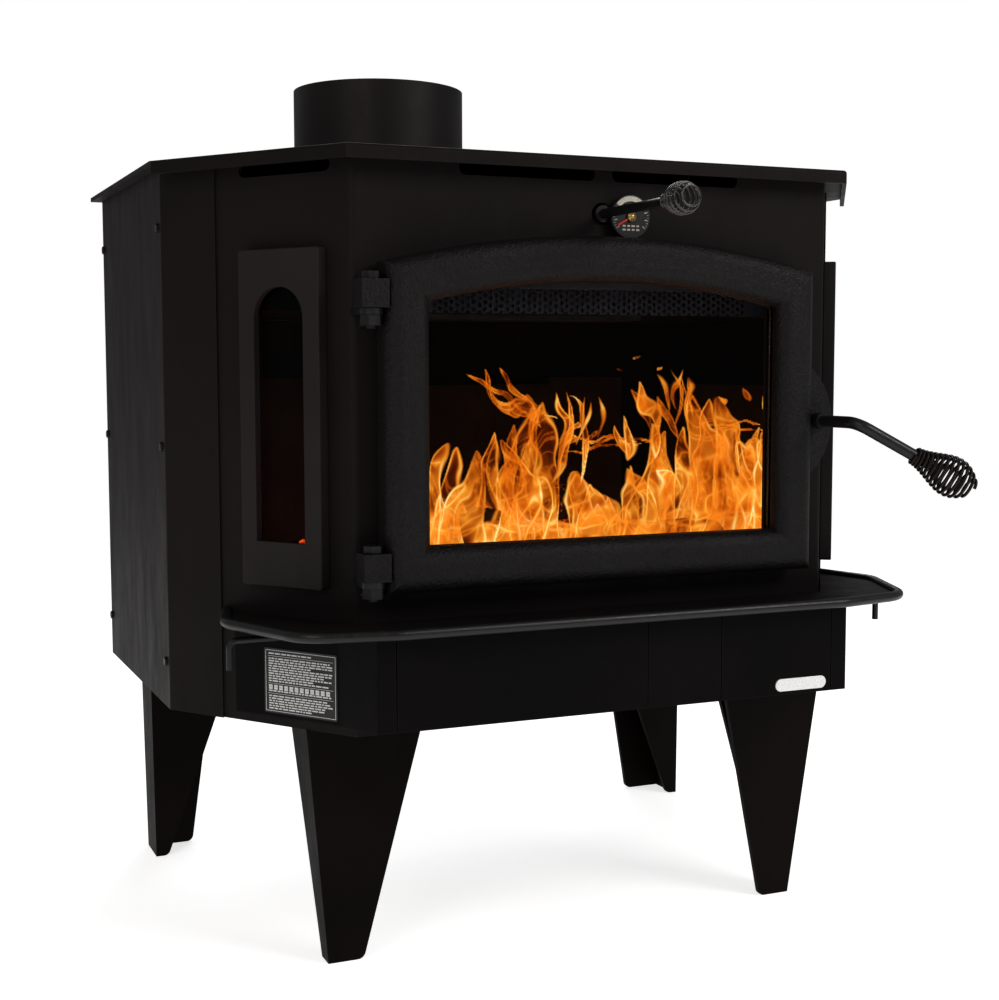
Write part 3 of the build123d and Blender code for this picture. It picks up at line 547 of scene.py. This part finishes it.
def wound_coil(name, body, finish, stands_for, start, along, across, sizes):
    """Pear-shaped coil of wire: close turns at its neck, open turns over the swell, closed at its end."""
    coil = Grower(name + "_tree")
    turns = coil.size("Turns", sizes["turns"])
    length = coil.size("Length", sizes["length"])
    neck = coil.size("Neck radius", sizes["neck"])
    swell = coil.size("Swell", sizes["swell"])
    wire = coil.size("Wire radius", sizes["wire"])
    crowd = coil.size("Crowding at the neck", sizes["crowd"])
    line = coil.node("GeometryNodeCurvePrimitiveLine", {"Start": (0, 0, 0), "End": (1, 0, 0)})
    feed = {"Curve": line.outputs["Curve"], "Count": int(sizes["turns"] * POINTS_PER_TURN)}
    points = coil.node("GeometryNodeResampleCurve", feed).outputs["Curve"]
    t = coil.node("GeometryNodeSplineParameter").outputs["Factor"]
    angle = coil.math("MULTIPLY", coil.math("MULTIPLY", turns, 2 * math.pi), t)
    shape = coil.math("SINE", coil.math("MULTIPLY", coil.math("POWER", t, sizes["fullness"]), math.pi))
    reach = coil.math("ADD", neck, coil.math("MULTIPLY", swell, shape))
    forward = coil.math("MULTIPLY", length, coil.math("POWER", t, crowd))
    third = along.cross(across)
    spot = coil.vector("SCALE", tuple(along), forward)
    for direction, wave in ((across, "COSINE"), (third, "SINE")):
        aside = coil.math("MULTIPLY", reach, coil.math(wave, angle))
        spot = coil.vector("ADD", spot, coil.vector("SCALE", tuple(direction), aside))
    spot = coil.vector("ADD", spot, tuple(start))
    wound = coil.node("GeometryNodeSetPosition", {"Geometry": points, "Position": spot}).outputs["Geometry"]
    section = coil.node("GeometryNodeCurvePrimitiveCircle", {"Resolution": WIRE_SIDES, "Radius": wire})
    feed = {"Curve": wound, "Profile Curve": section.outputs["Curve"], "Fill Caps": True}
    body_mesh = coil.node("GeometryNodeCurveToMesh", feed).outputs["Mesh"]
    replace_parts(coil.grow(name, body_mesh, body, finish), stands_for)


def handle_coil():
    """Dark coil on the end of the door handle."""
    across = GRIP_ALONG.cross(UP).normalized()
    sizes = {
        "turns": 14.0, "length": 0.0735, "neck": 0.0086, "swell": 0.0125, "wire": 0.0018,
        "crowd": 1.2, "fullness": 1.9,
    }
    wound_coil("handle_coil", "handle", COIL_DARK, "handle_spring",
               GRIP_ELBOW + GRIP_ALONG * GRIP_START, GRIP_ALONG, across, sizes)


def bypass_coil():
    """Nickel coil on the damper rod, closing to a small ring at its end."""
    low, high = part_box("bypass_rod")
    spring_low, spring_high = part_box("bypass_spring")
    start = Vector(((low[0] + high[0]) / 2, spring_high[1] - END_ALLOWANCE, (low[2] + high[2]) / 2))
    length = spring_high[1] - spring_low[1] - 2 * END_ALLOWANCE
    sizes = {
        "turns": 8.0, "length": length, "neck": 0.0064, "swell": 0.0090, "wire": 0.0013,
        "crowd": 1.1, "fullness": 1.5,
    }
    wound_coil("bypass_coil", "bypass", COIL_NICKEL, "bypass_spring", start, OUT_FRONT, UP, sizes)


handle_coil()
bypass_coil()


# ------------------------------------------------------------------ dial face
INK_LIFT = 0.0001
TICK_DEPTH = 0.0003
SCALE_START, SCALE_SWEEP = math.radians(215), math.radians(250)


def raised_bar(shape, centre, right, up, width, height, out, depth):
    """Small box standing on a face: right, up and out are its directions."""
    signs = ((-1, -1), (1, -1), (1, 1), (-1, 1))
    corners = [centre + right * (sx * width / 2) + up * (sy * height / 2) for sx, sy in signs]
    base = [shape.verts.new(c) for c in corners]
    top = [shape.verts.new(c + out * depth) for c in corners]
    shape.faces.new(base[::-1])
    shape.faces.new(top)
    for k in range(4):
        shape.faces.new((base[k], base[(k + 1) % 4], top[(k + 1) % 4], top[k]))


def dial_place():
    """Middle of the dial's face and its radius."""
    low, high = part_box("thermometer_case")
    return Vector(((low[0] + high[0]) / 2, low[1], (low[2] + high[2]) / 2)), (high[0] - low[0]) / 2


def dial_ticks(name, count, reach, long, wide):
    """Row of ticks round the dial, grown on an arc of points."""
    centre, radius = dial_place()
    ticks = Grower(name + "_tree")
    length = ticks.size("Tick length", long)
    width = ticks.size("Tick width", wide)
    number = ticks.size("Tick count", count, "Int")
    line = ticks.node("GeometryNodeMeshLine", {"Count": number, "Offset": (0, 0, 0)}).outputs["Mesh"]
    place = ticks.node("GeometryNodeInputIndex").outputs["Index"]
    share = ticks.math("DIVIDE", place, ticks.math("SUBTRACT", number, 1.0))
    turn = ticks.math("MULTIPLY", share, -SCALE_SWEEP)
    turn = ticks.math("ADD", turn, SCALE_START)
    feed = {"X": ticks.math("COSINE", turn), "Z": ticks.math("SINE", turn)}
    out = ticks.node("ShaderNodeCombineXYZ", feed).outputs[0]
    face = centre + OUT_FRONT * INK_LIFT
    spot = ticks.vector("ADD", ticks.vector("SCALE", out, radius * reach), tuple(face))
    points = ticks.node("GeometryNodeSetPosition", {"Geometry": line, "Position": spot}).outputs["Geometry"]
    box = ticks.node("ShaderNodeCombineXYZ", {"X": length, "Y": TICK_DEPTH, "Z": width}).outputs[0]
    tick = ticks.node("GeometryNodeMeshCube", {"Size": box}).outputs["Mesh"]
    spin = ticks.node("ShaderNodeCombineXYZ", {"Y": ticks.math("MULTIPLY", turn, -1.0)}).outputs[0]
    feed = {"Points": points, "Instance": tick, "Rotation": spin}
    placed = ticks.node("GeometryNodeInstanceOnPoints", feed).outputs["Instances"]
    ticks.grow(name, placed, "root", DIAL_CREAM, False)


def dial_arc_and_words():
    """Pale band at the top of the scale and plain bars where words would be."""
    centre, radius = dial_place()
    shape = bmesh.new()
    segments, ink = 36, 0.00015
    rows = []
    for reach, lift in ((0.70, 0), (0.93, 0), (0.93, ink), (0.70, ink)):
        row = []
        for k in range(segments + 1):
            turn = math.radians(38 + 104 * k / segments)
            spot = centre + Vector((math.cos(turn), 0, math.sin(turn))) * radius * reach
            row.append(shape.verts.new(spot + OUT_FRONT * lift))
        rows.append(row)
    for first, second in zip(rows, rows[1:] + rows[:1]):
        for k in range(segments):
            shape.faces.new((first[k], first[k + 1], second[k + 1], second[k]))
    for k in (0, segments):
        shape.faces.new([row[k] for row in rows])
    words = random.Random(7)
    for row in range(2):
        for k in range(4):
            centre_of_word = centre + RIGHT * (k - 1.5) * 0.0054 - UP * (0.0095 + row * 0.0040)
            raised_bar(shape, centre_of_word, RIGHT, UP, words.uniform(0.003, 0.0048), 0.0019, OUT_FRONT, ink)
    piece_from("dial_print", closed_mesh("dial_print", shape), "root", DIAL_CREAM, False)


def dial_hub():
    """Brass nut on the pointer's spindle, turned with a domed end."""
    centre = dial_place()[0]
    shape = bmesh.new()
    profile = (
        (0.0052, 0.0013), (0.0052, 0.0024), (0.0044, 0.0031),
        (0.0030, 0.0034), (0.0026, 0.0042), (0.0012, 0.0047),
    )
    around = 24
    rings = []
    for reach, lift in profile:
        rings.append([
            shape.verts.new(centre + OUT_FRONT * lift + Vector((math.cos(a), 0, math.sin(a))) * reach)
            for a in [2 * math.pi * k / around for k in range(around)]
        ])
    for first, second in zip(rings, rings[1:]):
        for k in range(around):
            shape.faces.new((first[k], first[(k + 1) % around], second[(k + 1) % around], second[k]))
    shape.faces.new(rings[0])
    shape.faces.new(rings[-1])
    piece_from("dial_hub", closed_mesh("dial_hub", shape), "thermometer_pointer", BRASS, True)


dial_ticks("dial_fine_ticks", 31, 0.86, 0.0018, 0.0004)
dial_ticks("dial_long_ticks", 11, 0.80, 0.0042, 0.0009)
dial_arc_and_words()
dial_hub()


# ------------------------------------------------------------------ rating label
def label_print():
    """Pale frame, ruled lines and word-like bars that spell nothing, on the left label plate."""
    low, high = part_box("rating_label")
    right = Vector((high[0] - low[0], low[1] - high[1], 0)).normalized()
    out = Vector((right.y, -right.x, 0))
    width, height = 0.095, high[2] - low[2]
    centre = (Vector(low) + Vector(high)) / 2 + out * 0.00026
    ink, rim, line = 0.00008, 0.0022, 0.0006
    shape = bmesh.new()
    for side in (-1, 1):
        across = centre + UP * side * (height / 2 - rim)
        raised_bar(shape, across, right, UP, width - 2 * rim, line, out, ink)
        upright = centre + right * side * (width / 2 - rim)
        raised_bar(shape, upright, right, UP, line, height - 2 * rim - line, out, ink)
    words = random.Random(11)
    rows, wide_rows, ruled_rows = 23, (13, 14), (1, 12, 16)
    for row in range(rows):
        level = height / 2 - 0.0055 - row * (height - 0.0105) / (rows - 1)
        if row in ruled_rows:
            raised_bar(shape, centre + UP * level, right, UP, width - 0.010, 0.0004, out, ink)
            continue
        wide = row in wide_rows
        tall, gap = (0.0024, 0.0018) if wide else (0.0015, 0.0011)
        x = -width / 2 + 0.006
        limit = width / 2 - words.choice((0.006, 0.006, 0.012, 0.030))
        while x < limit - 0.004:
            word = min(0.0050 if wide else words.uniform(0.0022, 0.0080), limit - x)
            raised_bar(shape, centre + UP * level + right * (x + word / 2), right, UP, word, tall, out, ink)
            x += word + gap
    piece_from("label_lines", closed_mesh("label_lines", shape), "root", LABEL_INK, False)


label_print()


# ------------------------------------------------------------------ ember bed and logs
FLOOR_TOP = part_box("floor_bricks")[1][2]


def glowing_embers(name):
    """Grey ash over glowing coals."""
    coals = Finish(name)
    glow = coals.span(coals.noise(46.0, 5, 0.7), 0.0, 1.0, 0.48, 0.66)
    glows = [(0.0, (0, 0, 0)), (0.45, (0.6, 0.06, 0.005)), (1.0, (1.0, 0.32, 0.05))]
    coals.set(
        Base_Color=coals.mix(glow, (0.035, 0.030, 0.027, 1), (0.35, 0.06, 0.01, 1)),
        Roughness=0.95,
        Emission_Color=coals.ramp(glow, glows),
        Normal=coals.bump(coals.noise(150.0, 5, 0.7), 0.003),
    )
    coals.set(Emission_Strength=1.6)
    return coals.material


def charred_wood(name):
    """Split wood burnt black, with white ash on its ridges and red cracks."""
    wood = Finish(name)
    grain = wood.noise(60.0, 6, 0.7, (0.25, 1, 1))
    glow = wood.span(wood.noise(32.0, 5, 0.7), 0.0, 1.0, 0.6, 0.74)
    tones = [(0.3, (0.006, 0.005, 0.004)), (0.6, (0.022, 0.015, 0.011)), (0.85, (0.09, 0.075, 0.062))]
    glows = [(0.0, (0, 0, 0)), (0.6, (0.7, 0.09, 0.008)), (1.0, (1.0, 0.4, 0.08))]
    wood.set(
        Base_Color=wood.ramp(grain, tones),
        Roughness=0.95,
        Emission_Color=wood.ramp(glow, glows),
        Normal=wood.bump(grain, 0.006),
    )
    wood.set(Emission_Strength=1.4)
    return wood.material


EMBERS = glowing_embers("glowing_ember_bed")
CHAR = charred_wood("charred_split_wood")


def ash_bed():
    """Low uneven heap of ash over the floor bricks."""
    shape = bmesh.new()
    across, deep = 72, 44
    half_x, low_y, high_y = 0.31, FASCIA_Y + 0.055, 0.19
    grid = []
    for j in range(deep + 1):
        row = []
        for i in range(across + 1):
            u, v = i / across, j / deep
            x, y = (2 * u - 1) * half_x, low_y + v * (high_y - low_y)
            fade = min(1, 5 * min(u, 1 - u)) * min(1, 5 * min(v, 1 - v))
            lumps = 0.6 + noise.fractal(Vector((x, y, 0)) * 11, 1.0, 2.0, 4)
            rise = (0.012 + 0.018 * fade * lumps) * fade
            row.append(shape.verts.new((x, y, FLOOR_TOP + 0.002 + max(0, rise))))
        grid.append(row)
    for j in range(deep):
        for i in range(across):
            shape.faces.new((grid[j][i], grid[j][i + 1], grid[j + 1][i + 1], grid[j + 1][i]))
    rim = [edge for edge in shape.edges if edge.is_boundary]
    skirt = bmesh.ops.extrude_edge_only(shape, edges=rim)["geom"]
    for vert in [part for part in skirt if isinstance(part, bmesh.types.BMVert)]:
        vert.co.z = FLOOR_TOP + 0.0005
    bmesh.ops.contextual_create(shape, geom=[edge for edge in shape.edges if edge.is_boundary])
    piece_from("ash_bed", closed_mesh("ash_bed", shape), "root", EMBERS)


def coal_lumps():
    """Loose coals strewn over the ash, grown on a grid of points with a fixed seed."""
    lumps = Grower("coal_lumps_tree")
    count = lumps.size("Lump count", 260, "Int")
    size = lumps.size("Lump size", 0.0085)
    line = lumps.node("GeometryNodeMeshLine", {"Count": count, "Offset": (0, 0, 0)}).outputs["Mesh"]
    spot = lumps.node("ShaderNodeCombineXYZ", {
        "X": lumps.random(-0.27, 0.29, 1),
        "Y": lumps.random(FASCIA_Y + 0.075, 0.15, 2),
        "Z": lumps.random(FLOOR_TOP + 0.010, FLOOR_TOP + 0.030, 3),
    }).outputs[0]
    points = lumps.node("GeometryNodeSetPosition", {"Geometry": line, "Position": spot}).outputs["Geometry"]
    ball = lumps.node("GeometryNodeMeshIcoSphere", {"Radius": size, "Subdivisions": 3}).outputs["Mesh"]
    turn = lumps.node("ShaderNodeCombineXYZ", {
        "X": lumps.random(0, 6.3, 4), "Y": lumps.random(0, 6.3, 5), "Z": lumps.random(0, 6.3, 6),
    }).outputs[0]
    stretch = lumps.node("ShaderNodeCombineXYZ", {
        "X": lumps.random(0.6, 1.9, 7), "Y": lumps.random(0.6, 1.3, 8), "Z": lumps.random(0.5, 1.1, 9),
    }).outputs[0]
    feed = {"Points": points, "Instance": ball, "Rotation": turn, "Scale": stretch}
    placed = lumps.node("GeometryNodeInstanceOnPoints", feed).outputs["Instances"]
    real = lumps.node("GeometryNodeRealizeInstances", {"Geometry": placed}).outputs["Geometry"]
    rough = lumps.node("ShaderNodeTexNoise", {"Scale": 130.0, "Detail": 3.0}).outputs["Color"]
    push = lumps.vector("SCALE", lumps.vector("SUBTRACT", rough, (0.5, 0.5, 0.5)), 0.011)
    broken = lumps.node("GeometryNodeSetPosition", {"Geometry": real, "Offset": push}).outputs["Geometry"]
    lumps.grow("coal_lumps", broken, "root", EMBERS)


def split_log(name, start, end, radius, seed):
    """Split log: a rough wedge section with bark and charring along its length."""
    start, end = Vector(start), Vector(end)
    along = (end - start).normalized()
    side = along.cross(UP).normalized()
    up = side.cross(along)
    rings, around = 60, 44
    shape = bmesh.new()
    rows = []
    for r in range(rings + 1):
        t = r / rings
        centre = start.lerp(end, t)
        row = []
        for k in range(around):
            a = 2 * math.pi * k / around
            wedge = 1.0 - 0.24 * max(0.0, math.cos(a - 0.7)) - 0.14 * max(0.0, math.cos(a + 1.6))
            skin = Vector((math.cos(a) * 2.2 + seed, math.sin(a) * 2.2, t * 7))
            bark = 0.12 * noise.fractal(skin, 1.0, 2.0, 5)
            end_round = 1 - 0.16 * (abs(2 * t - 1) ** 12)
            reach = radius * (wedge + bark) * end_round
            row.append(shape.verts.new(centre + (side * math.cos(a) + up * math.sin(a)) * reach))
        rows.append(row)
    for first, second in zip(rows, rows[1:]):
        for k in range(around):
            shape.faces.new((first[k], first[(k + 1) % around], second[(k + 1) % around], second[k]))
    for row, tip in ((rows[0], start), (rows[-1], end)):
        hub = shape.verts.new(tip)
        for k in range(around):
            shape.faces.new((row[k], row[(k + 1) % around], hub))
    piece_from(name, closed_mesh(name, shape), "root", CHAR)


LOGS = {
    "log_back": ((-0.22, 0.04, 0.428), (0.26, 0.07, 0.434), 0.034),
    "log_front": ((-0.20, -0.10, 0.422), (0.25, -0.12, 0.425), 0.030),
    "log_across": ((-0.10, -0.14, 0.452), (0.16, 0.06, 0.468), 0.024),
}
ash_bed()
coal_lumps()
for number, (log_name, (log_start, log_end, log_radius)) in enumerate(LOGS.items()):
    split_log(log_name, log_start, log_end, log_radius, 3.7 * number)


# ------------------------------------------------------------------ fire
def flame_finish(name):
    """Flame: orange veil with bright threads, thin and dark red at its rims. Reads the mesh's own values."""
    fire = Finish(name)
    heat = fire.node("ShaderNodeAttribute").outputs["Fac"]
    heat.node.attribute_name = "flame_heat"
    veil = fire.node("ShaderNodeAttribute").outputs["Fac"]
    veil.node.attribute_name = "flame_veil"
    stops = [
        (0.0, (0.10, 0.006, 0.0)), (0.20, (0.44, 0.055, 0.001)), (0.40, (0.88, 0.21, 0.007)),
        (0.62, (1.0, 0.38, 0.035)), (0.82, (1.0, 0.66, 0.19)), (1.0, (1.0, 0.90, 0.58)),
    ]
    fire.set(Base_Color=(0, 0, 0, 1), Roughness=1.0, Specular_IOR_Level=0.0)
    fire.set(Emission_Color=fire.ramp(heat, stops, False), Alpha=veil, Emission_Strength=1.15)
    return fire.material


FLAME = flame_finish("flame_glow")
FIRE_LEFT, FIRE_RIGHT, FIRE_BASE, FIRE_TOP = -0.168, 0.350, 0.405, 0.652

# Tongues rise from the bed: foot x, tip x, tip z, half width at the foot, sideways bend.
TONGUES = (
    (-0.150, -0.140, 0.488, 0.014, 0.004),
    (-0.108, -0.100, 0.548, 0.030, -0.010),
    (-0.060, -0.050, 0.566, 0.040, 0.014),
    (-0.008, 0.004, 0.592, 0.026, -0.016),
    (0.045, 0.056, 0.512, 0.036, 0.014),
    (0.090, 0.088, 0.474, 0.020, -0.006),
    (0.130, 0.124, 0.522, 0.026, 0.012),
    (0.168, 0.176, 0.566, 0.040, -0.014),
    (0.218, 0.232, 0.604, 0.046, 0.016),
    (0.262, 0.292, 0.560, 0.030, 0.014),
    (0.312, 0.330, 0.458, 0.024, 0.000),
)
# Wisps hang free: foot x and z, tip x and z, half width, sideways bend.
WISPS = (
    (0.016, 0.566, -0.078, 0.640, 0.0060, -0.020),
    (0.006, 0.578, -0.062, 0.622, 0.0035, -0.016),
    (0.036, 0.500, 0.030, 0.618, 0.0075, 0.008),
    (0.034, 0.550, 0.056, 0.566, 0.0050, 0.008),
    (0.056, 0.545, 0.068, 0.606, 0.0036, 0.006),
    (0.070, 0.544, 0.106, 0.549, 0.0080, 0.002),
    (0.124, 0.528, 0.118, 0.572, 0.0080, 0.003),
    (0.168, 0.552, 0.138, 0.618, 0.0095, -0.008),
    (0.190, 0.566, 0.184, 0.634, 0.0048, 0.007),
    (0.212, 0.572, 0.203, 0.630, 0.0042, -0.005),
    (0.283, 0.588, 0.279, 0.608, 0.0060, 0.002),
    (0.128, 0.640, 0.140, 0.646, 0.0030, 0.000),
    (0.252, 0.566, 0.286, 0.560, 0.0040, 0.004),
)
LOBE = (0.296, 0.530, 0.0195)


def tongue_depth(x, z, foot_x, foot_z, tip_x, tip_z, wide, bend, free):
    """How far inside a tongue a place lies, in metres; below 0 outside."""
    t = (z - foot_z) / (tip_z - foot_z)
    if free and not 0 < t < 1 or t >= 1:
        return -1.0
    t = max(0.0, t)
    middle = foot_x + (tip_x - foot_x) * t ** 1.3 + bend * math.sin(math.pi * t)
    half = wide * (math.sin(math.pi * t) ** 0.8 if free else (1 - t) ** 0.55)
    if free:
        lean = abs(tip_x - foot_x) / (tip_z - foot_z)
        half *= math.sqrt(1 + lean * lean)
    return half - abs(x - middle)


def line_at(depth, middle, wide):
    """1 on a line that lies a given depth inside an outline, falling off to both sides."""
    return math.exp(-(((depth - middle) / wide) ** 2))


def flame_value(x, z, seed):
    """(inside, thread, cloud) at a place in the fire, with the pattern bent by noise."""
    rise = (z - FIRE_BASE) / (FIRE_TOP - FIRE_BASE)
    wide = noise.noise(Vector((x * 11, z * 9, seed + 3.1)))
    fine = noise.noise(Vector((x * 29, z * 21, seed + 7.7)))
    tiny = noise.noise(Vector((x * 70, z * 48, seed + 1.3)))
    lift = noise.noise(Vector((x * 17, z * 13, seed + 9.2)))
    sx = x + (0.014 + 0.022 * rise) * wide + (0.010 + 0.008 * rise) * fine + 0.003 * tiny
    sz = z + 0.020 * lift + 0.009 * fine + 0.003 * tiny
    depths = [tongue_depth(sx, sz, foot, 0.38, *rest, False) for foot, *rest in TONGUES]
    depths += [tongue_depth(sx, sz, *wisp, True) for wisp in WISPS]
    depths.append(LOBE[2] - math.hypot(sx - LOBE[0], sz - LOBE[1]))
    floor = 0.458 + 0.010 * lift - sz
    inside = max(max(depths), floor)
    broken = 0.35 + 0.65 * max(0.0, min(1.0, 0.5 + 1.6 * noise.noise(Vector((x * 20, z * 16, seed + 61)))))
    thread = max(line_at(d, 0.0026, 0.0015) for d in depths) * broken
    thread = max(thread, 0.6 * line_at(floor, 0.004, 0.002) * broken)
    flow = noise.noise(Vector((sx * 36 + 2 * lift, sz * 19, seed + 31)))
    curl = noise.noise(Vector((sx * 62 + 7 * wide, sz * 38, seed + 41)))
    thread = max(thread, 0.75 * (1 - abs(flow)) ** 16 * broken, 0.42 * (1 - abs(curl)) ** 14)
    cloud = noise.fractal(Vector((sx * 26, sz * 17, seed + 21)), 0.9, 2.1, 3)
    return inside, thread, cloud


def flame_sheet(name, depth, seed, cell=0.0014):
    """Curved thin shell cut to the outline of flames, with its heat and its veil kept at each point."""
    columns = round((FIRE_RIGHT - FIRE_LEFT) / cell)
    rows = round((FIRE_TOP - FIRE_BASE) / cell)
    values = {}
    for j in range(rows + 1):
        for i in range(columns + 1):
            x, z = FIRE_LEFT + i * cell, FIRE_BASE + j * cell
            inside, thread, cloud = flame_value(x, z, seed)
            rim = min(x - FIRE_LEFT, FIRE_RIGHT - x, FIRE_TOP - z)
            inside = min(inside, 0.4 * rim)
            if inside > 0:
                values[i, j] = (inside, thread, cloud)
    kept = [
        (i, j) for (i, j) in values
        if (i + 1, j) in values and (i, j + 1) in values and (i + 1, j + 1) in values
    ]
    points, heats, veils, index = [], [], [], {}
    half = 0.0004
    for i, j in kept:
        for corner in ((i, j), (i + 1, j), (i + 1, j + 1), (i, j + 1)):
            if corner in index:
                continue
            x, z = FIRE_LEFT + corner[0] * cell, FIRE_BASE + corner[1] * cell
            inside, thread, cloud = values[corner]
            rise = (z - FIRE_BASE) / (FIRE_TOP - FIRE_BASE)
            soft = min(1.0, inside / 0.0035)
            fill = min(1.0, max(0.0, 0.46 + 1.7 * cloud))
            heat = 0.27 + 0.52 * thread + 0.28 * fill - 0.20 * rise
            veil = soft * (0.07 + 0.62 * thread + 0.38 * fill * (1 - 0.4 * rise))
            y = depth + 0.016 * noise.noise(Vector((x * 9, z * 8, seed + 51))) + 0.03 * rise
            index[corner] = len(points)
            points += [(x, y - half, z), (x, y + half, z)]
            heats += [max(0.0, heat)] * 2
            veils += [min(0.96, veil)] * 2
    faces, sides = [], set()
    for i, j in kept:
        a, b, c, d = (index[k] for k in ((i, j), (i + 1, j), (i + 1, j + 1), (i, j + 1)))
        faces.append((a, b, c, d))
        faces.append((d + 1, c + 1, b + 1, a + 1))
        for first, second in ((a, b), (b, c), (c, d), (d, a)):
            if (second, first) in sides:
                sides.remove((second, first))
            else:
                sides.add((first, second))
    faces += [(second, first, first + 1, second + 1) for first, second in sorted(sides)]
    mesh = bpy.data.meshes.new(name)
    mesh.from_pydata(points, [], faces)
    for label, numbers in (("flame_heat", heats), ("flame_veil", veils)):
        mesh.attributes.new(label, "FLOAT", "POINT").data.foreach_set("value", numbers)
    piece_from(name, mesh, "root", FLAME)


for sheet, (sheet_depth, sheet_seed) in enumerate(((-0.180, 2.0), (-0.150, 17.0), (-0.120, 42.0))):
    flame_sheet(f"flames_{sheet + 1}", sheet_depth, sheet_seed)
